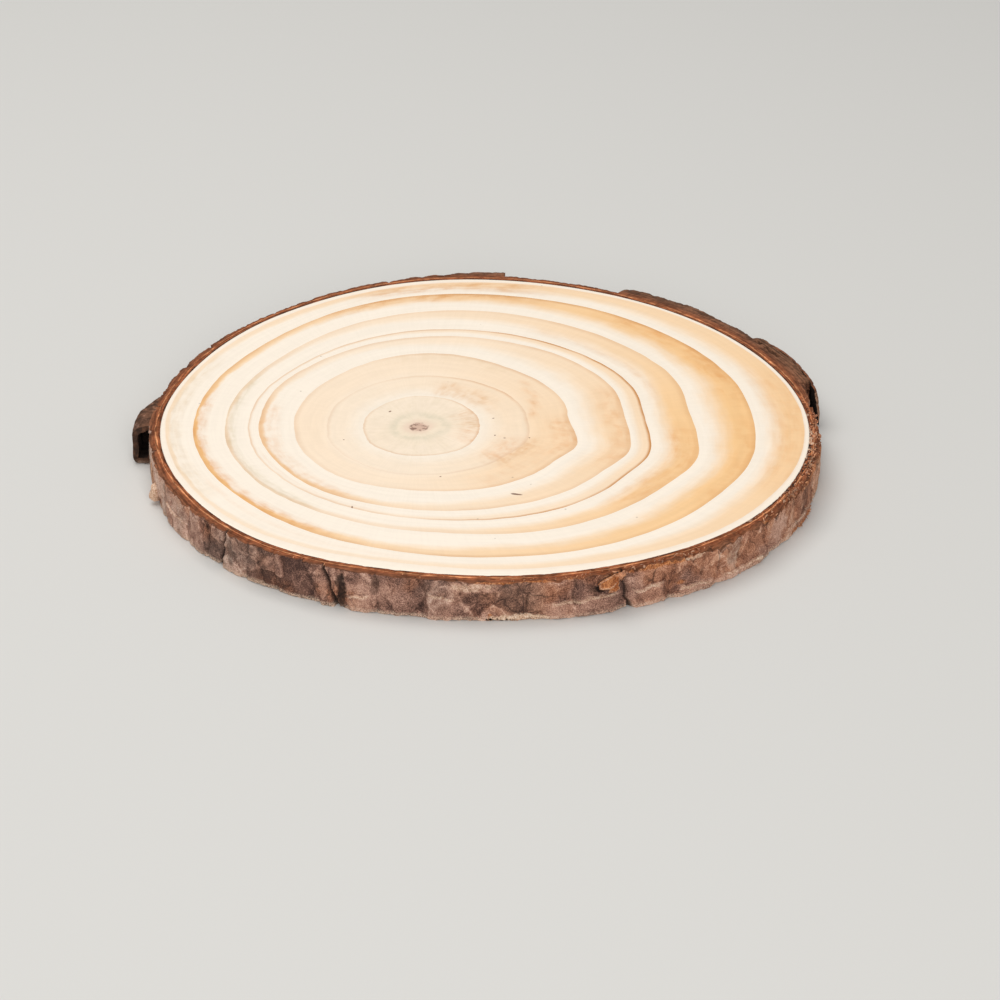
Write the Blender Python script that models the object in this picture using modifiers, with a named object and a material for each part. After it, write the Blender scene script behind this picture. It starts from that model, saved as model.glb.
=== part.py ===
"""Wood slice: a disc sawn across a small pine log, with its bark left on.

+Z is up and the slice lies on its lower saw cut. The origin is the middle of its
footprint. Angles are in degrees round the pith, the centre of the growth rings,
from +X towards +Y. The tree grew faster on its +X side, so the pith is off-centre.
"""

import math
import random

import bpy
from mathutils import Vector

MM = 0.001

# Driving dimensions
THICKNESS = 10 * MM  # between the two saw cuts
PITH = Vector((-14.66 * MM, -8.61 * MM, 0))
WOOD_RADII_MM = [93.5, 92.6, 89.3, 84.1, 73.6, 65.1, 61.8, 61.2, 64.3, 68.1, 77.6, 88.4]  # every 30 degrees
BARK_MM = [2.6, 4.4, 2.4, 3.0, 2.0, 2.6, 2.6, 2.8, 2.6, 2.7, 2.7, 2.8]  # bark's thickness, every 30 degrees
SEAT_GAP_MM = 0.3  # between the wood and the bark that grips it
WOOD_SIDES = 144

# The bark's plates lie between fissures that run up the trunk
FISSURES = [1, 8, 15, 31, 40, 48, 56, 66, 77, 87, 97, 105, 113, 121, 130, 140, 150, 160, 170, 181, 190, 197,
            204, 209, 216, 223, 229, 236, 243, 251, 254.8, 264, 271, 280, 290, 297, 304.5, 311, 318, 325, 331,
            340, 349]
DEEP_FISSURES = {97, 121, 140, 170, 190, 229, 254.8, 304.5}
DEEP_FISSURE_MM = 1.3
SHALLOW_FISSURE_MM = 0.4
FISSURE_LEANS = {229: 2.2, 251: -3.6, 254.8: -2.8, 304.5: -0.7}  # degrees from a fissure's lower end to its upper end
# Plates that stand off the trunk: where each starts, then its thickness at its start and at its end
PROUD_PLATES_MM = {1: (2.4, 2.6), 8: (2.6, 3.8), 15: (6.5, 6.6), 31: (5.0, 5.4), 40: (5.7, 6.0), 48: (6.0, 5.4),
                   56: (2.3, 2.4), 77: (5.2, 3.8), 87: (3.6, 2.2), 170: (2.6, 2.6), 181: (2.3, 2.3),
                   190: (2.4, 2.7)}
PLATE_SHARES = (0.0, 0.05, 0.28, 0.5, 0.72, 0.95)  # columns across a plate, from fissure to fissure
PLATE_VARIES_MM = 0.35
LEAN_VARIES = 1.5  # degrees
ROUGHNESS_MM = 0.12
BARK_SEED = 7
FLAKE_STEPS = 4  # mesh columns between two values of outer_mm

# Flakes that have come away from the trunk between two angles. outer_mm is how far the outer face stands
# beyond the wood, evenly spaced from start to end. section runs from one edge to the other: the share of that
# distance, and the height in mm. wall_mm is the flake's own thickness.
CURLED_FLAKE = {
    "start": 162,
    "end": 179.6,
    "outer_mm": [3.0, 4.9, 6.8, 7.0, 7.0],
    "section": [(0.93, 0.4), (1, 4), (1, 7.4), (0.86, 8.9), (0.55, 9.6), (0.3, 9.3)],
    "wall_mm": 1.5,
}
PEELING_FLAKE = {
    "start": 10.7,
    "end": 29,
    "outer_mm": [6.1, 6.6, 6.9, 7.2, 7.2, 6.3],
    "section": [(1.02, 0.3), (1, 3), (1, 7), (0.97, 9.9)],
    "wall_mm": 1.2,
}

# Once round the bark's section: how far out through the bark, and how high, as shares of each.
# It starts half way up the outer face, climbs, comes in over the top and returns below.
SECTION = [(1, 0.5), (1, 0.72), (1, 0.92), (0.84, 1), (0.4, 1), (0, 1),
           (0, 0.5), (0, 0), (0.4, 0), (0.84, 0), (1, 0.08), (1, 0.28)]

WOOD_COLOUR = (0.86, 0.72, 0.50, 1)
BARK_COLOUR = (0.17, 0.10, 0.07, 1)


def round_the_pith(values, degrees):
    """Reads a smooth closed curve through values that are evenly spaced round the pith."""
    along = degrees / 360 * len(values)
    index = math.floor(along)
    t = along - index
    before, start, end, after = (values[(index + step) % len(values)] for step in (-1, 0, 1, 2))
    return 0.5 * (
        2 * start
        + (end - before) * t
        + (2 * before - 5 * start + 4 * end - after) * t**2
        + (3 * start - before - 3 * end + after) * t**3
    )


def place(degrees, beyond_mm, height):
    """The point at that angle and height, and that many millimetres outside the wood."""
    radius = (round_the_pith(WOOD_RADII_MM, degrees) + beyond_mm) * MM
    angle = math.radians(degrees)
    return PITH + Vector((radius * math.cos(angle), radius * math.sin(angle), height))


def material(name, colour, roughness):
    made = bpy.data.materials.new(name)
    made.use_nodes = True
    shader = made.node_tree.nodes["Principled BSDF"]
    shader.inputs["Base Color"].default_value = colour
    shader.inputs["Roughness"].default_value = roughness
    shader.inputs["Metallic"].default_value = 0
    return made


def put_in(obj, collection):
    for old in obj.users_collection:
        old.objects.unlink(obj)
    collection.objects.link(obj)


def make_wood(collection):
    """The sawn disc: a flat outline with the thickness of the slice."""
    outline = bpy.data.curves.new("wood", "CURVE")
    outline.dimensions = "2D"
    outline.fill_mode = "BOTH"
    outline.extrude = THICKNESS / 2
    spline = outline.splines.new("POLY")
    spline.points.add(WOOD_SIDES - 1)
    for index, point in enumerate(spline.points):
        at = place(index * 360 / WOOD_SIDES, 0, 0)
        point.co = (at.x, at.y, 0, 1)
    spline.use_cyclic_u = True
    wood = bpy.data.objects.new("wood", outline)
    wood.location.z = THICKNESS / 2
    outline.materials.append(material("wood", WOOD_COLOUR, 0.6))
    collection.objects.link(wood)


class Plate:
    """One plate of bark, from the fissure where it starts to the next one."""

    def __init__(self, start, end, draw):
        self.start = start
        self.end = end
        varies = draw.uniform(-PLATE_VARIES_MM, PLATE_VARIES_MM)
        tilts = draw.uniform(-PLATE_VARIES_MM, PLATE_VARIES_MM)
        lean = draw.uniform(-LEAN_VARIES, LEAN_VARIES)
        plain = (
            round_the_pith(BARK_MM, start) + varies - tilts,
            round_the_pith(BARK_MM, end) + varies + tilts,
        )
        self.sides_mm = PROUD_PLATES_MM.get(start, plain)
        self.fissure_mm = DEEP_FISSURE_MM if start in DEEP_FISSURES else SHALLOW_FISSURE_MM
        self.lean = FISSURE_LEANS.get(start, lean)

    def thickness_mm(self, share):
        return self.sides_mm[0] + (self.sides_mm[1] - self.sides_mm[0]) * share


def make_bark_ring(draw):
    """The ring of bark: a torus whose section is squared up and pushed out to the plates' faces."""
    ends = FISSURES[1:] + [FISSURES[0] + 360]
    plates = [Plate(start, end, draw) for start, end in zip(FISSURES, ends)]
    columns = len(plates) * len(PLATE_SHARES)
    bpy.ops.mesh.primitive_torus_add(major_segments=columns, minor_segments=len(SECTION))
    ring = bpy.context.object
    for index, vertex in enumerate(ring.data.vertices):
        column, row = divmod(index, len(SECTION))
        number, step = divmod(column, len(PLATE_SHARES))
        plate = plates[number]
        before = plates[number - 1]
        after = plates[(number + 1) % len(plates)]
        share = PLATE_SHARES[step]
        out, up = SECTION[row]
        thickness = plate.thickness_mm(share)
        if step == 0:
            thickness = min(plate.sides_mm[0], before.sides_mm[1]) - plate.fissure_mm
        if out == 1:
            thickness += draw.uniform(-ROUGHNESS_MM, ROUGHNESS_MM)
        lean = (plate.lean + (after.lean - plate.lean) * share) * out
        degrees = plate.start + (plate.end - plate.start) * share + lean * (up - 0.5)
        vertex.co = place(degrees, SEAT_GAP_MM + (thickness - SEAT_GAP_MM) * out, up * THICKNESS)
    return ring


def make_flake(start, end, outer_mm, section, wall_mm):
    """A loose flake: a grid bent round the trunk, then given its thickness on the inside."""
    spans = len(outer_mm) - 1
    bpy.ops.mesh.primitive_grid_add(
        x_subdivisions=spans * FLAKE_STEPS, y_subdivisions=len(section) - 1, size=2
    )
    flake = bpy.context.object
    for vertex in flake.data.vertices:
        along = (vertex.co.x + 1) / 2
        share, height = section[round((vertex.co.y + 1) / 2 * (len(section) - 1))]
        span = min(int(along * spans), spans - 1)
        outer = outer_mm[span] + (outer_mm[span + 1] - outer_mm[span]) * (along * spans - span)
        vertex.co = place(start + (end - start) * along, outer * share, height * MM)
    sheet = flake.modifiers.new("wall", "SOLIDIFY")
    sheet.thickness = wall_mm * MM
    sheet.offset = -1
    bpy.ops.object.modifier_apply(modifier=sheet.name)
    return flake


def make_bark(collection, flakes_collection):
    """The ring and its loose flakes, joined into the one layer that they grew as."""
    bark = make_bark_ring(random.Random(BARK_SEED))
    bark.name = "bark"
    bark.data.name = "bark"
    put_in(bark, collection)
    flakes = [make_flake(**flake) for flake in (CURLED_FLAKE, PEELING_FLAKE)]
    for flake in flakes:
        put_in(flake, flakes_collection)
    join = bark.modifiers.new("grown together", "BOOLEAN")
    join.operation = "UNION"
    join.operand_type = "COLLECTION"
    join.collection = flakes_collection
    bpy.context.view_layer.objects.active = bark
    bpy.ops.object.modifier_apply(modifier=join.name)
    for flake in flakes:
        bpy.data.objects.remove(flake)
    bark.data.materials.clear()
    bark.data.materials.append(material("bark", BARK_COLOUR, 0.9))


def main():
    for old in list(bpy.data.objects):
        bpy.data.objects.remove(old)
    collections = []
    for name in ("wood_slice", "flakes"):
        made = bpy.data.collections.new(name)
        bpy.context.scene.collection.children.link(made)
        collections.append(made)
    make_wood(collections[0])
    make_bark(*collections)


main()
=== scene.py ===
# %% [markdown]
# A slice of pine, with its bark on
#
# This lesson dresses a measured model of a wood slice. Someone sawed twice across
# a young pine log, 10 mm apart, and left the bark on. What makes it look real is
# growth: eight rings that are wider on one side, and a rim of bark that has
# cracked into plates. So nearly every shape here is a plain form that is then
# pushed about by a rule of growth.

# %% Load the measured model
import math
import random

import bpy
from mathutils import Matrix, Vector, noise


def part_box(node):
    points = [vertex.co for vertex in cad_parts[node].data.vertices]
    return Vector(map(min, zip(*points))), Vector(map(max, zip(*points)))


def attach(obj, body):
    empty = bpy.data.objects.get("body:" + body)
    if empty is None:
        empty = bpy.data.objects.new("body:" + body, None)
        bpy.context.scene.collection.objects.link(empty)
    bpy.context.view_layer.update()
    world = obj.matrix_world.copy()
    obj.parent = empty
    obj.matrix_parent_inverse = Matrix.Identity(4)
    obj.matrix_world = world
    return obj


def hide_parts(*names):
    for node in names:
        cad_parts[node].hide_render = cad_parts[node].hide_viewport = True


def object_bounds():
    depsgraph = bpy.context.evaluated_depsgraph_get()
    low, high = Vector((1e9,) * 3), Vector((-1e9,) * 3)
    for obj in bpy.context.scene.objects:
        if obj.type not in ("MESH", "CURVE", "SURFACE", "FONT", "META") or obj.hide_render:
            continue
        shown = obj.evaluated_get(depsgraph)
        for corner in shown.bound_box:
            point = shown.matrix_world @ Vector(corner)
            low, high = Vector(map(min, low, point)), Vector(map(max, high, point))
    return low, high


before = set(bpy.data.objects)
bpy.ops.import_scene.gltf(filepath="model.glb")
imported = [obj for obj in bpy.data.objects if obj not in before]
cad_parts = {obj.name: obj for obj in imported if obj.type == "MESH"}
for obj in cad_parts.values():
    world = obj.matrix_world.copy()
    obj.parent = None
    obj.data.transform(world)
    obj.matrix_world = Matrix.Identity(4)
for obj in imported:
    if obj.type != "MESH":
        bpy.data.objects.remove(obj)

MM = 0.001
NOISE_SEED = 8
noise.seed_set(NOISE_SEED)  # unseeded, noise vectors change with the time of day
cad_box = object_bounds()
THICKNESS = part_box("wood")[1].z
print("slice from", cad_box[0], "to", cad_box[1], "thickness", THICKNESS)

# %% [markdown]
# The view
#
# The camera stands a little above the slice and looks down at it by 29 degrees,
# with a long lens, so the round slice looks like a flat ellipse. It is placed from
# the pith, the point that all the growth rings go round.

# %% Camera
PITH = Vector((-14.66 * MM, -8.61 * MM, 0))
CAMERA_FROM_PITH = Vector((19.51 * MM, -602.33 * MM, 313.9 * MM))
CAMERA_LENS_MM = 102.1
CAMERA_TILT = math.radians(90 - 29)

camera_data = bpy.data.cameras.new("camera")
camera_data.lens = CAMERA_LENS_MM
camera_data.sensor_width = 36
camera = bpy.data.objects.new("camera", camera_data)
camera.location = PITH + CAMERA_FROM_PITH + Vector((0, 0, THICKNESS))
camera.rotation_euler = (CAMERA_TILT, 0, 0)
bpy.context.scene.collection.objects.link(camera)
bpy.context.scene.camera = camera
print("camera at", camera.location)

# %% [markdown]
# Floor and light
#
# A plain pale floor and big soft lights show a matt, rough thing best: the light
# from above fills the pale wood, and the side of the bark falls off into shade.


# %% Helpers for making and choosing things
def deselect_all():
    """The loaded nodes come in selected, and an operator acts on all that is selected."""
    if bpy.context.mode != "OBJECT":
        bpy.ops.object.mode_set(mode="OBJECT")
    bpy.ops.object.select_all(action="DESELECT")


def call(piece, name):
    piece.name = name
    piece.data.name = name


def take(piece):
    """Makes one piece the only selected one."""
    deselect_all()
    piece.select_set(True)
    bpy.context.view_layer.objects.active = piece


def edit(piece, kind):
    """Goes into edit mode on one piece, to work on its faces or edges."""
    take(piece)
    bpy.ops.object.mode_set(mode="EDIT")
    bpy.ops.mesh.select_mode(type=kind)


def pick(elements, wanted):
    """Selects only the faces or edges that are wanted, by their place or normal."""
    bpy.ops.mesh.select_all(action="DESELECT")
    bpy.ops.object.mode_set(mode="OBJECT")
    for element in getattr(bpy.context.object.data, elements):
        element.select = wanted(element)
    bpy.ops.object.mode_set(mode="EDIT")


def paint(red, green, blue):
    """A colour as picked from a screen, 0 to 255, as the linear light that shaders use."""
    return tuple(
        (c / 255 / 12.92 if c / 255 <= 0.04045 else ((c / 255 + 0.055) / 1.055) ** 2.4)
        for c in (red, green, blue)
    ) + (1.0,)


# %% Floor, lights and sky
FLOOR_SIZE = 3.0
FLOOR_COLOUR = paint(214, 214, 212)

deselect_all()
bpy.ops.mesh.primitive_plane_add(size=FLOOR_SIZE)
floor = bpy.context.object
floor.name = "floor"
floor_paint = bpy.data.materials.new("floor")
floor_paint.use_nodes = True
floor_paint.node_tree.nodes["Principled BSDF"].inputs["Base Color"].default_value = FLOOR_COLOUR
floor_paint.node_tree.nodes["Principled BSDF"].inputs["Roughness"].default_value = 0.8
floor.data.materials.append(floor_paint)


def soft_light(name, place, size, power, colour):
    """A square lamp that faces the slice."""
    data = bpy.data.lights.new(name, "AREA")
    data.size = size
    data.energy = power
    data.color = colour
    lamp = bpy.data.objects.new(name, data)
    lamp.location = place
    lamp.rotation_euler = (Vector((0, 0, 0)) - lamp.location).to_track_quat("-Z", "Y").to_euler()
    bpy.context.scene.collection.objects.link(lamp)


soft_light("overhead", Vector((-0.25, 0.15, 1.0)), 0.9, 7.6, (1.0, 0.98, 0.95))
soft_light("front", Vector((0.12, -1.1, 0.55)), 0.7, 7, (1.0, 0.98, 0.96))

sky = bpy.data.worlds.new("sky")
sky.use_nodes = True
sky.node_tree.nodes["Background"].inputs["Color"].default_value = (1.0, 0.985, 0.96, 1)
sky.node_tree.nodes["Background"].inputs["Strength"].default_value = 0.3
bpy.context.scene.world = sky
bpy.context.scene.view_settings.view_transform = "Standard"

# %% [markdown]
# How the tree grew
#
# A tree adds one ring a year, and this one grew faster on one side. Each ring is
# described by its radius from the pith in eight compass directions, and a smooth
# closed curve is read through those. The same way of reading a value "by compass"
# serves for the outline of the wood, the thickness of the bark and how dark each
# ring is.


# %% Reading a value by compass
def curve(before, start, end, after, t):
    """A smooth curve from start, at 0, to end, at 1, that also minds the values next to them."""
    return 0.5 * (
        2 * start
        + (end - before) * t
        + (2 * before - 5 * start + 4 * end - after) * t**2
        + (3 * start - before - 3 * end + after) * t**3
    )


def by_compass(values, degrees):
    """Reads a smooth closed curve through values that are evenly spaced round the pith."""
    along = degrees / 360 * len(values)
    index = math.floor(along)
    near = (values[(index + step) % len(values)] for step in (-1, 0, 1, 2))
    return curve(*near, along - index)


def bump_at(degrees, centre, width):
    """1 at the centre and falling smoothly to 0 about a width away, in degrees."""
    away = (degrees - centre + 180) % 360 - 180
    return math.exp(-((away / width) ** 2))


def ring_noise(degrees, lane, size):
    """Smooth noise that closes on itself round the pith. Each lane has its own pattern."""
    angle = math.radians(degrees)
    return noise.noise(Vector((math.cos(angle) * size, math.sin(angle) * size, lane * 7.31)))


# %% The growth rings, in millimetres from the pith
# The edge of the wood, every 30 degrees from east
WOOD_RADII_MM = [93.5, 92.6, 89.3, 84.1, 73.6, 65.1, 61.8, 61.2, 64.3, 68.1, 77.6, 88.4]
# The rings inside it: E, NE, N, NW, W, SW, S, SE
RING_RADII_MM = [
    [14.6, 15.5, 16.5, 14.5, 13.2, 14.0, 14.6, 15.1],
    [26.7, 27.5, 27.5, 24.4, 22.0, 22.6, 24.2, 25.2],
    [37.2, 38.2, 40.1, 33.6, 29.8, 30.1, 31.5, 35.8],
    [50.5, 51.9, 49.9, 42.6, 38.2, 37.5, 40.5, 46.7],
    [55.3, 56.4, 53.7, 45.0, 40.9, 40.4, 44.5, 52.6],
    [66.7, 67.8, 64.9, 51.5, 46.4, 45.9, 50.2, 61.3],
    [80.7, 80.0, 74.9, 59.7, 54.0, 53.2, 60.2, 73.2],
]
PALE_RIM_MM = [1.3, 1.3, 2.2, 1.5, 1.2, 2.0, 3.0, 2.2]  # the newest growth, just inside the bark
KNUCKLE = [0, 0, 0.3, 1.0, 0.9, 0.9, 1.1, 0.3]  # how far each ring shares in the bulge on the +X side
RINGS = len(RING_RADII_MM) + 2
COARSE_WOBBLE_MM = 0.35  # how far the rings wander, in long waves and in short ones
FINE_WOBBLE_MM = 0.14


def ring_edge_mm(ring, degrees):
    """Radius of a ring's outer edge. Ring 0 is the pith, and the last is the edge of the wood."""
    if ring == 0:
        return 0.0
    outline = by_compass(WOOD_RADII_MM, degrees)
    if ring == RINGS:
        return outline
    if ring == RINGS - 1:
        radius = outline - by_compass(PALE_RIM_MM, degrees)
    else:
        radius = by_compass(RING_RADII_MM[ring - 1], degrees)
        bulge = 1.9 * bump_at(degrees, 346, 9) - 1.2 * bump_at(degrees, 8, 9)
        radius += bulge * KNUCKLE[ring]
    wobble = COARSE_WOBBLE_MM * ring_noise(degrees, ring, 3) + FINE_WOBBLE_MM * ring_noise(degrees, ring, 14)
    return radius + wobble


print("ring edges to the east:", [round(ring_edge_mm(ring, 0), 1) for ring in range(RINGS + 1)])

# %% [markdown]
# The sawn disc
#
# The disc starts as a plain cylinder with a radius of 1. Its two flat ends are inset
# again and again, which draws circles of edges on them, six to each ring. Then
# every circle is moved out to the ring that it stands for. The mesh now knows how
# old the wood is at each point, so the finish can follow the growth exactly, with
# no picture.

# %% Model the disc
DISC_SIDES = 360
STEPS_A_RING = 6

deselect_all()
bpy.ops.mesh.primitive_cylinder_add(vertices=DISC_SIDES, radius=1, depth=2, end_fill_type="NGON")
disc = bpy.context.object
call(disc, "sawn_wood")
edit(disc, "FACE")
pick("polygons", lambda face: abs(face.normal.z) > 0.5)
circles = RINGS * STEPS_A_RING
for circle in range(circles - 1):
    bpy.ops.mesh.inset(thickness=1 / circles, use_boundary=True)
bpy.ops.mesh.poke()
bpy.ops.object.mode_set(mode="OBJECT")
print("disc:", len(disc.data.vertices), "points,", len(disc.data.polygons), "faces")

# %% Let it grow
RIM_WEAR = 0.15 * MM  # how far the sawn edge is rubbed down
SAW_RIPPLE = 0.03 * MM


def grown_radius_mm(age, degrees):
    """Radius of the wood of that age. Age 3.5 is half way through the fourth ring."""
    ring = min(int(age + 1e-6), RINGS - 1)
    inner = ring_edge_mm(ring, degrees)
    return inner + (ring_edge_mm(ring + 1, degrees) - inner) * (age - ring)


ages = []
for vertex in disc.data.vertices:
    x, y, side = vertex.co
    reach = math.hypot(x, y)
    age = round(reach * circles) / STEPS_A_RING
    degrees = math.degrees(math.atan2(y, x)) % 360
    ages.append((age, degrees))
    radius = grown_radius_mm(age, degrees) * MM
    angle = math.radians(degrees)
    at = PITH + Vector((radius * math.cos(angle), radius * math.sin(angle), 0))
    down = SAW_RIPPLE * (0.5 + 0.5 * noise.noise(Vector((at.x * 60, at.y * 900, side))))
    if age >= RINGS - 0.01:
        down = RIM_WEAR
    at.z = THICKNESS - down if side > 0 else down
    vertex.co = at
print("disc reaches x", min(v.co.x for v in disc.data.vertices), max(v.co.x for v in disc.data.vertices))

# %% [markdown]
# What the rings look like
#
# In spring the tree makes pale, open wood. In summer the wood grows denser and
# darker, from cream to peach, and ends in a thin orange line where winter stopped
# it. How strong each year's peach and line are differs with the year and with the
# compass, so they are written down by ring, and stored on the corners of the faces.
# Corners, and not points, because the colour jumps at a ring's edge.

# %% How strong each ring is: E, NE, N, NW, W, SW, S, SE
PEACH = [
    [0.22, 0.20, 0.18, 0.18, 0.20, 0.20, 0.18, 0.20],
    [0.35, 0.37, 0.27, 0.22, 0.22, 0.20, 0.22, 0.32],
    [0.56, 0.43, 0.31, 0.30, 0.32, 0.30, 0.32, 0.52],
    [0.62, 0.45, 0.28, 0.28, 0.60, 0.70, 0.36, 0.50],
    [0.50, 0.50, 0.30, 0.22, 0.22, 0.22, 0.22, 0.40],
    [0.90, 0.60, 0.35, 0.28, 0.30, 0.30, 0.28, 0.75],
    [0.95, 0.90, 0.70, 0.70, 1.00, 1.00, 0.60, 0.85],
    [0.80, 0.62, 0.55, 0.38, 0.35, 0.30, 0.30, 0.55],
    [0.02, 0.02, 0.02, 0.02, 0.02, 0.02, 0.02, 0.02],
]
EDGE_LINE = [
    [0.50, 0.45, 0.15, 0.15, 0.40, 0.35, 0.30, 0.40],
    [0.25, 0.45, 0.22, 0.14, 0.18, 0.15, 0.15, 0.30],
    [0.35, 0.35, 0.28, 0.15, 0.26, 0.22, 0.22, 0.30],
    [0.25, 0.35, 0.25, 0.25, 0.35, 0.40, 0.25, 0.25],
    [1.15, 1.20, 0.55, 0.32, 0.34, 0.34, 0.46, 0.95],
    [0.25, 0.25, 0.18, 0.16, 0.24, 0.28, 0.18, 0.20],
    [0.35, 0.60, 0.62, 0.45, 0.28, 0.32, 0.45, 0.35],
    [0.05, 0.05, 0.10, 0.05, 0.05, 0.05, 0.05, 0.05],
    [0.00, 0.00, 0.00, 0.00, 0.00, 0.00, 0.00, 0.00],
]
LINE_WIDTH_MM = [0.9, 1.2, 1.6, 1.8, 1.0, 2.0, 1.6, 1.6, 1.0]
PEACH_STARTS = [-1.5, -0.15, -0.9]  # the first three rings are beige from their start
# Resin stains: ring, start and end in degrees, start and end through the ring, how orange and how grey green
STAINS = [
    (0, 0, 360, 0.0, 1.0, 0.0, 0.15), (0, 330, 395, 0.80, 1.0, 0.35, 0.0), (1, 0, 360, 0.0, 1.0, 0.0, 0.06),
    (1, 42, 74, 0.25, 0.55, 0.30, 0.10), (1, 318, 342, 0.62, 0.95, 0.35, 0.0),
    (2, 320, 342, 0.0, 0.22, 0.45, 0.1), (2, 300, 350, 0.45, 1.0, 0.12, 0.0),
    (2, 340, 364, 0.55, 1.0, 0.35, 0.0), (2, 58, 102, 0.75, 1.0, 0.05, 0.12),
    (3, 165, 240, 0.60, 1.0, 0.25, 0.0), (3, -20, 20, 0.75, 1.0, 0.35, 0.0),
    (5, 325, 355, 0.50, 0.95, 0.35, 0.0), (5, 150, 235, 0.70, 1.0, 0.0, 0.35),
    (6, 14, 48, 0.78, 1.0, 0.55, 0.0), (6, 335, 360, 0.80, 1.0, 0.30, 0.0),
    (6, 72, 104, 0.82, 1.0, 0.65, 0.10), (6, 165, 245, 0.76, 1.0, 0.50, 0.0),
    (7, 74, 98, 0.45, 0.85, 0.55, 0.10), (7, 345, 375, 0.50, 1.0, 0.25, 0.0),
    (7, 150, 210, 0.55, 0.9, 0.10, 0.20),
]
# False rings, where a dry spell marked the wood: start and end in degrees and in years, and how strong
FALSE_RINGS = [
    (165, 252, 6.80, 6.84, 0.45), (6, 47, 2.03, 2.72, 0.45), (20, 60, 1.35, 1.55, 0.25),
    (195, 262, 4.55, 4.62, 0.25), (205, 275, 7.35, 7.45, 0.2), (10, 70, 5.3, 5.42, 0.2),
]
FALSE_RING_WIDTH = 0.13  # of a year's growth


def peach_starts(ring, degrees):
    """The share of a ring that stays cream: less on the fast-grown side."""
    if ring < len(PEACH_STARTS):
        return PEACH_STARTS[ring]
    return 0.45 - 0.36 * math.cos(math.radians(degrees - 10))


def fades(value, start, end, soft):
    """1 between start and end, and falling to 0 over the soft distance outside them."""
    inside = min(value - start, end - value)
    return min(1.0, max(0.0, inside / soft + 1))


def stains_at(ring, phase, degrees):
    """How orange and how grey green the wood is stained there."""
    orange = grey = 0.0
    ragged = 0.12 * ring_noise(degrees, ring + phase, 9) + 0.06 * ring_noise(degrees, ring + phase, 40)
    for stained, first, last, start, end, more_orange, more_grey in STAINS:
        if stained != ring:
            continue
        turn = (degrees - first + 40) % 360 + first - 40
        past_edge = 0.3 if end == 1.0 else 0  # so a stain that ends with its ring doesn't fade there
        here = fades(turn, first, last, 9) * fades(phase + ragged, start, end + past_edge, 0.22)
        here *= 0.75 + 0.8 * ring_noise(degrees, ring + phase * 3, 22)
        orange = max(orange, here * more_orange)
        grey = max(grey, here * more_grey)
    for first, last, start, end, strength in FALSE_RINGS:
        if first < degrees < last:
            year = start + (end - start) * (degrees - first) / (last - first)
            near = max(0.0, 1 - abs(ring + phase - year) / FALSE_RING_WIDTH)
            fading = min(1.0, (degrees - first) / 8, (last - degrees) / 8)
            orange = max(orange, near * strength * fading)
    if ring == RINGS - 1:
        orange = 0.36 * by_compass(PEACH[ring - 1], degrees) * max(0.0, 1 - phase / 0.5)
    return orange, grey


def store(piece, name, kind, domain, field, values):
    """Keeps a value for each point or face corner of a piece, for its finish to read."""
    made = piece.data.attributes.new(name, kind, domain)
    made.data.foreach_set(field, [number for value in values for number in value])


looks = [(0.0, 0.0, 0.0, 0.0)] * len(disc.data.loops)
stains = [(0.0, 0.0, 0.0)] * len(disc.data.loops)
ring_here = {}
for face in disc.data.polygons:
    corners = [ages[index] for index in face.vertices]
    middle = sum(age for age, _ in corners) / len(corners)
    ring = min(int(middle), RINGS - 1)
    around = [degrees for age, degrees in corners if age > 0]
    for loop, (age, degrees) in zip(face.loop_indices, corners):
        if age == 0:
            degrees = around[0]
        key = (ring, round(age * STEPS_A_RING), round(degrees * 10))
        if key not in ring_here:
            width = ring_edge_mm(ring + 1, degrees) - ring_edge_mm(ring, degrees)
            from_edge_mm = (ring + 1 - age) * width
            orange, grey = stains_at(ring, age - ring, degrees)
            ring_here[key] = (
                (age - ring, by_compass(PEACH[ring], degrees), by_compass(EDGE_LINE[ring], degrees),
                 peach_starts(ring, degrees)),
                (orange, grey, from_edge_mm / LINE_WIDTH_MM[ring]),
            )
        looks[loop], stains[loop] = ring_here[key]
growth = [(age * math.cos(math.radians(turn)), age * math.sin(math.radians(turn)), 0) for age, turn in ages]
store(disc, "ring_look", "FLOAT_COLOR", "CORNER", "color", looks)
store(disc, "stains", "FLOAT_VECTOR", "CORNER", "vector", stains)
store(disc, "growth", "FLOAT_VECTOR", "POINT", "vector", growth)
print("ring looks stored on", len(looks), "corners")

# %% [markdown]
# A workbench for finishes
#
# A finish is a tree of shader nodes. This small class adds a node in one line, so
# the recipes below read from the base colour up to the last speck of dust.


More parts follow.
